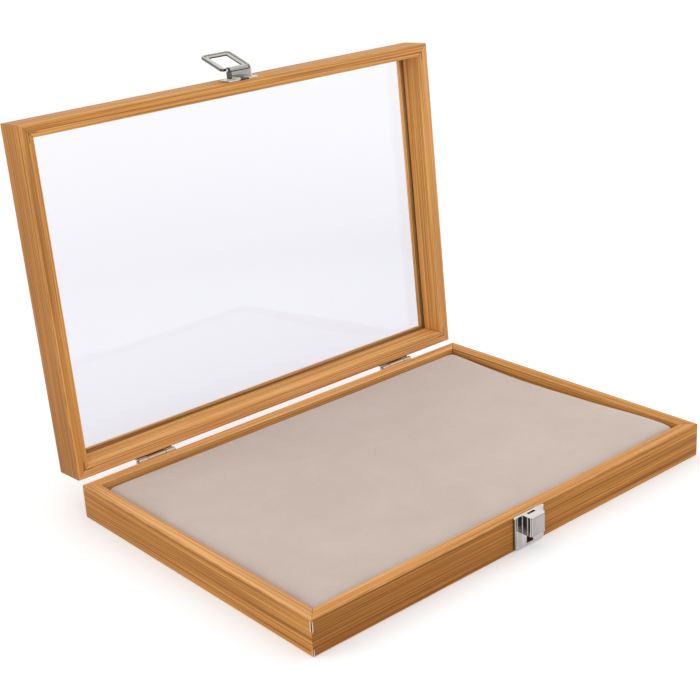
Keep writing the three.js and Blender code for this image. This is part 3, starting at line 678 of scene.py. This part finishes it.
# ---- pad ----------------------------------------------------------------------------------------
def pad():
    """A firm slab pad in suede: built a little under size, blown up as cloth, and held to the space it fills."""
    half_x, half_y, z0, z1 = 164.8, 109.8, 6.75, 21.0
    bm = bmesh.new()
    bmesh.ops.create_cube(bm, size=1)
    for v in bm.verts:
        v.co = Vector((v.co.x * 2 * half_x, v.co.y * 2 * half_y, z0 + (v.co.z + 0.5) * (z1 - z0)))
    upright = [e for e in bm.edges if abs(e.verts[0].co.z - e.verts[1].co.z) > 1]
    bmesh.ops.bevel(bm, geom=upright, offset=2.4, segments=3, profile=0.5, affect="EDGES")
    rim = [e for e in bm.edges if all(v.co.z > z1 - 0.01 for v in e.verts) and len(e.link_faces) == 2 and e.calc_face_angle(0) > 1]
    bmesh.ops.bevel(bm, geom=rim, offset=1.4, segments=3, profile=0.5, affect="EDGES")
    bmesh.ops.scale(bm, vec=(0.001, 0.001, 0.001), verts=bm.verts)
    mesh = bpy.data.meshes.new("pad")
    bm.to_mesh(mesh)
    bm.free()
    o = new_object("suede_pad", mesh)
    m = o.modifiers.new("remesh", "REMESH")
    m.mode, m.voxel_size, m.adaptivity = "VOXEL", 0.0036, 0
    baked(o)
    before = np.array([v.co for v in o.data.vertices], float)
    cloth = o.modifiers.new("cloth", "CLOTH")
    s = cloth.settings
    s.quality = 6
    s.use_pressure = True
    s.uniform_pressure_force = 4
    s.effector_weights.gravity = 0
    s.tension_stiffness = s.compression_stiffness = 18
    s.bending_stiffness = 1.2
    cloth.point_cache.frame_start, cloth.point_cache.frame_end = 1, 20
    for f in range(1, 21):
        scene.frame_set(f)
    baked(o)
    scene.frame_set(1)
    after = np.array([v.co for v in o.data.vertices], float)
    move = after - before
    # The slab is firm: the top may rise by 1.6 mm, the walls may bulge by 0.3 mm, and the underside lies on its board.
    side = np.linalg.norm(move[:, :2], axis=1)
    move[:, :2] *= np.minimum(1, 0.0003 / np.maximum(side, 1e-9))[:, None]
    move[:, 2] = np.where(before[:, 2] > 0.012, np.clip(move[:, 2], -0.0002, 0.0016), 0)
    # the cover is glued round the board's edge, so there the simulated move fades to an even swell
    rim = np.maximum(np.clip((np.abs(before[:, 0]) / 0.1648 - 0.93) / 0.055, 0, 1), np.clip((np.abs(before[:, 1]) / 0.1098 - 0.90) / 0.08, 0, 1))[:, None]
    even = np.zeros_like(move)
    even[:, 2] = np.where(before[:, 2] > 0.012, 0.0004, 0)
    move = move * (1 - rim) + even * rim
    co = before + move
    # unevenness: the slab sits low half way along its right side and stands proud at its right front corner and along
    # its back
    x, y = co[:, 0] / 0.165, co[:, 1] / 0.11
    top = np.clip((co[:, 2] - 0.010) / 0.009, 0, 1)
    dip = 0.0016 * np.clip(x, 0, 1) ** 3 * np.exp(-((y - 0.25) / 0.42) ** 2)
    lift = 0.0024 * np.exp(-((x - 1) / 0.26) ** 2 - ((y + 0.85) / 0.36) ** 2) + 0.0003 * np.clip(-x, 0, 1) * np.clip(y, -0.2, 1)
    lift += 0.0011 * np.clip((y - 0.55) / 0.45, 0, 1) ** 2 * np.clip(0.55 + 0.45 * x, 0, 1)
    wave = 0.00022 * np.sin(3.1 * x + 1.0) * np.cos(2.6 * y - 0.6) + 0.00014 * np.sin(7.3 * x + 2 * y) * np.cos(5.1 * y + 0.4)
    co[:, 2] += top * (lift - dip + wave)
    o.data.vertices.foreach_set("co", co.astype(np.float32).ravel())
    relax = o.modifiers.new("relax", "SMOOTH")
    relax.factor, relax.iterations = 0.5, 3
    sub = o.modifiers.new("subdivide", "SUBSURF")
    sub.levels = sub.render_levels = 1
    baked(o)
    o.data.transform(Matrix.Translation((0, SHIFT * 0.001, 0)))
    o.data.materials.clear()
    o.data.materials.append(M_SUEDE)
    o.data.polygons.foreach_set("use_smooth", [True] * len(o.data.polygons))
    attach(o, "tray_body")
    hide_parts("pad_cover")
    return o


pad()


def slab(name, replaced, mat, inset, bevel, settled=0.0):
    """A cut sheet a little inside the CAD node it stands for; settled is how far its top has sunk."""
    lo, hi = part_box(replaced)
    hi = (hi[0], hi[1], hi[2] - settled)
    mesh = bpy.data.meshes.new(name)
    bm = bmesh.new()
    bmesh.ops.create_cube(bm, size=1)
    for v in bm.verts:
        v.co = Vector([(lo[i] + hi[i]) / 2 + v.co[i] * (hi[i] - lo[i] - 2 * inset[i]) for i in range(3)])
    bmesh.ops.bevel(bm, geom=[e for e in bm.edges if abs(e.verts[0].co.z - e.verts[1].co.z) > 0.001], offset=bevel * 3, segments=3, profile=0.5, affect="EDGES")
    bmesh.ops.bevel(bm, geom=[e for e in bm.edges if e.calc_face_angle(0) > 1], offset=bevel, segments=2, profile=0.5, affect="EDGES")
    bm.to_mesh(mesh)
    bm.free()
    o = new_object(name, mesh)
    smooth(o, 40)
    flat_sides(o)
    return finish_piece(o, Matrix.Identity(4), "tray_body", replaced, [mat])


slab("foam_slab", "pad_foam", M_FOAM, (0.0034, 0.0030, 0.0003), 0.0006, settled=0.0022)
slab("card_sheet", "pad_board", M_CARD, (0.0006, 0.0006, 0.0), 0.00025)


# ---- folding loop -------------------------------------------------------------------------------
def rounded(x0, x1, y0, y1, r, seg=6):
    pts = []
    for cx, cy, a in ((x1 - r, y0 + r, -90), (x1 - r, y1 - r, 0), (x0 + r, y1 - r, 90), (x0 + r, y0 + r, 180)):
        pts += [(cx + r * math.cos(math.radians(a + 90 * i / seg)), cy + r * math.sin(math.radians(a + 90 * i / seg))) for i in range(seg + 1)]
    return pts


def loop():
    """Pressed loop: a turned-down outer flange, a raised bead round it, a lower land and a turned window edge."""
    w, d0, d1, win, w0, w1 = 25.0, 2.9, 28.0, 15.2, 5.6, 24.4
    profile = [(-0.03, -1.75, 2.7), (-0.03, -0.2, 2.7), (0.0, 0.2, 2.6), (0.06, 0.42, 2.5), (0.14, 0.48, 2.35), (0.22, 0.38, 2.2),
               (0.34, -0.02, 2.0), (0.48, -0.50, 1.7), (0.58, -0.72, 1.4), (0.70, -0.76, 1.25), (0.80, -0.66, 1.1), (0.90, -0.62, 0.9),
               (0.97, -0.74, 0.75), (1.0, -0.95, 0.7), (1.0, -1.65, 0.7), (0.94, -1.70, 0.8), (0.93, -1.20, 0.8), (0.60, -1.35, 1.4),
               (0.45, -1.05, 1.7), (0.28, -0.45, 2.0), (0.12, -0.10, 2.3), (0.06, -0.30, 2.45), (0.05, -1.75, 2.5)]
    painted_fold_lines = {0: 0.4, 1: 0.95, 2: 0.3, 6: 0.85, 7: 0.2, 9: 0.1, 12: 0.95, 13: 0.8, 14: 0.6}  # painted dark reflection lines along the folds
    bm = bmesh.new()
    mark = bm.verts.layers.float.new("painted_fold_lines")
    rows = []
    for i, (k, up_, r) in enumerate(profile):
        x = w / 2 + (win - w) / 2 * k
        rows.append([bm.verts.new((px, py, up_)) for px, py in rounded(-x, x, d0 + (w0 - d0) * k, d1 + (w1 - d1) * k, r)])
        for v in rows[-1]:
            v[mark] = painted_fold_lines.get(i, 0.0)
    m = len(rows[0])
    for i in range(len(rows)):
        a, b = rows[i], rows[(i + 1) % len(rows)]
        for j in range(m):
            bm.faces.new((a[j], a[(j + 1) % m], b[(j + 1) % m], b[j]))
    bmesh.ops.recalc_face_normals(bm, faces=bm.faces)
    mesh = bpy.data.meshes.new("loop")
    bm.to_mesh(mesh)
    bm.free()
    o = new_object("folding_loop", mesh)
    for part in (rod_object("barrel", (-7.9, 0, 0), (7.9, 0, 0), 1.55, 40), box_object("strap", (-7.8, 0.6, -0.75), (7.8, 4.2, 0.32))):
        u = o.modifiers.new("union", "BOOLEAN")
        u.operation, u.solver, u.object = "UNION", "EXACT", part
        baked(o)
        mesh = part.data
        bpy.data.objects.remove(part)
        bpy.data.meshes.remove(mesh)
    carve(o, rod_object("bore", (-9, 0, 0), (9, 0, 0), 0.88, 24))
    o.data.materials.clear()
    smooth(o, 42)
    flat_sides(o)
    stand = Matrix.Translation((LATCH_X, -DEPTH / 2 - 7.6, RIM_Z + 5.6)) @ Matrix.Rotation(math.radians(90 + 20.5), 4, "X")
    return finish_piece(o, LID_M @ stand, "loop_body", "latch_loop", [M_LOOP])


loop()


# ---- carried-over nodes -------------------------------------------------------------------------
def dress(name, mat, bevel=None, angle=35):
    o = nodes[name]
    o.data.materials.clear()
    o.data.materials.append(mat)
    if bevel:
        d = o.modifiers.new("planes", "DECIMATE")
        d.decimate_type, d.angle_limit = "DISSOLVE", math.radians(2)
        b = o.modifiers.new("edges", "BEVEL")
        b.width, b.segments, b.limit_method, b.angle_limit = bevel * 0.001, 2, "ANGLE", math.radians(angle)
        b.use_clamp_overlap = True
        b.harden_normals = True
    o.data.polygons.foreach_set("use_smooth", [True] * len(o.data.polygons))


for name in nodes:
    if nodes[name].hide_render:
        continue
    if "corner_nail" in name:
        dress(name, M_NAIL)
        nodes[name].data.polygons.foreach_set("use_smooth", [False] * len(nodes[name].data.polygons))
    elif name.startswith("hinge"):
        dress(name, M_HINGE, 0.12)
    elif name.startswith("latch"):
        dress(name, {"latch_catch": M_CATCH, "latch_bracket": M_BRACKET}.get(name, M_NICKEL), 0.15)

# ---- floor, light, camera -----------------------------------------------------------------------
floor_mesh = bpy.data.meshes.new("floor")
bm = bmesh.new()
bmesh.ops.create_grid(bm, x_segments=8, y_segments=8, size=30)
bm.to_mesh(floor_mesh)
bm.free()
floor = new_object("floor", floor_mesh)
floor.location = (0, 0, -0.0002)
fl = Nodes("pale_floor")
fl.set(color=(0.80, 0.80, 0.805, 1), rough=0.9, spec=0.1)
fl.p.inputs["Emission Color"].default_value = (1, 1, 1, 1)
far = fl.t.nodes.new("ShaderNodeVectorMath")
far.operation = "LENGTH"
fl.link(fl.object_coords(), far.inputs[0])
# the floor glows (painted light): a glow round the case lifts its shadow, and a glow rising further out keeps the far
# floor white
glow = fl.math("ADD", fl.range(far.outputs["Value"], 0.25, 0.55, 0.13, 0.0), fl.math("ADD", fl.range(far.outputs["Value"], 0.6, 3.2, 0.09, 0.28), fl.range(far.outputs["Value"], 3.2, 10.0, 0.0, 0.45)))
fl.put(fl.p.inputs["Emission Strength"], glow)
floor.data.materials.append(fl.mat)

world = bpy.data.worlds.new("studio")
scene.world = world
world.use_nodes = True
wt = world.node_tree
wt.nodes.clear()
wo = wt.nodes.new("ShaderNodeOutputWorld")
bg = wt.nodes.new("ShaderNodeBackground")
tc = wt.nodes.new("ShaderNodeTexCoord")
sep = wt.nodes.new("ShaderNodeSeparateXYZ")
cr = wt.nodes.new("ShaderNodeValToRGB")
wt.links.new(tc.outputs["Generated"], sep.inputs[0])
wt.links.new(sep.outputs["Z"], cr.inputs[0])
band = cr.color_ramp.elements
band.new(0.5)
band.new(0.5)
for e, (at, grey) in zip(band, ((0.0, 0.92), (0.30, 0.92), (0.46, 0.25), (1.0, 0.25))):
    e.position, e.color = at, (grey, grey, grey, 1)
wt.links.new(cr.outputs[0], bg.inputs[0])
bg.inputs[1].default_value = 1.0
wt.links.new(bg.outputs[0], wo.inputs[0])


def area(name, at, to, size, watts, color=(1, 1, 1)):
    data = bpy.data.lights.new(name, "AREA")
    data.shape, data.size, data.size_y, data.energy, data.color = "RECTANGLE", size[0], size[1], watts, color
    o = new_object(name, data)
    o.location = at
    o.rotation_euler = (Vector(to) - Vector(at)).to_track_quat("-Z", "Y").to_euler()
    return o


area("overhead", (0.5, 1.0, 5.0), (0.5, 1.0, 0), (16, 16), 712)
area("left", (-1.9, 0.9, 1.1), (0, 0, 0.1), (1.0, 1.0), 7.5, (1.0, 0.99, 0.97))
area("right", (2.0, -0.5, 1.0), (0.1, 0.1, 0.12), (1.0, 1.0), 8, (1.0, 0.99, 0.97))
area("front", (-0.3, -2.0, 1.5), (0, 0.1, 0.2), (0.9, 0.9), 2, (1.0, 0.99, 0.97))

A, B, C = 0.6904, 0.3685, -0.0605  # heading, tilt down and roll of the view, in radians
fwd = Vector((math.sin(A) * math.cos(B), math.cos(A) * math.cos(B), -math.sin(B)))
r0 = Vector((math.cos(A), -math.sin(A), 0))
u0 = r0.cross(fwd)
right = math.cos(C) * r0 + math.sin(C) * u0
up = -math.sin(C) * r0 + math.cos(C) * u0
cam_data = bpy.data.cameras.new("camera")
cam = new_object("camera", cam_data)
m3 = Matrix((right, up, -fwd)).transposed()
cam.matrix_world = Matrix.Translation((-0.578106, -0.669240, 0.438638)) @ m3.to_4x4()
cam_data.sensor_fit = "HORIZONTAL"
cam_data.sensor_width = 36
cam_data.lens = 36 * 1404.888 / 700
cam_data.shift_x = (350 - 340.52) / 700
cam_data.shift_y = (348.03 - 350) / 700
cam_data.clip_start, cam_data.clip_end = 0.01, 100
scene.camera = cam

scene.view_settings.view_transform = "Standard"
scene.view_settings.look = "None"
scene.view_settings.exposure = 0
scene.view_settings.gamma = 1

bpy.context.view_layer.update()
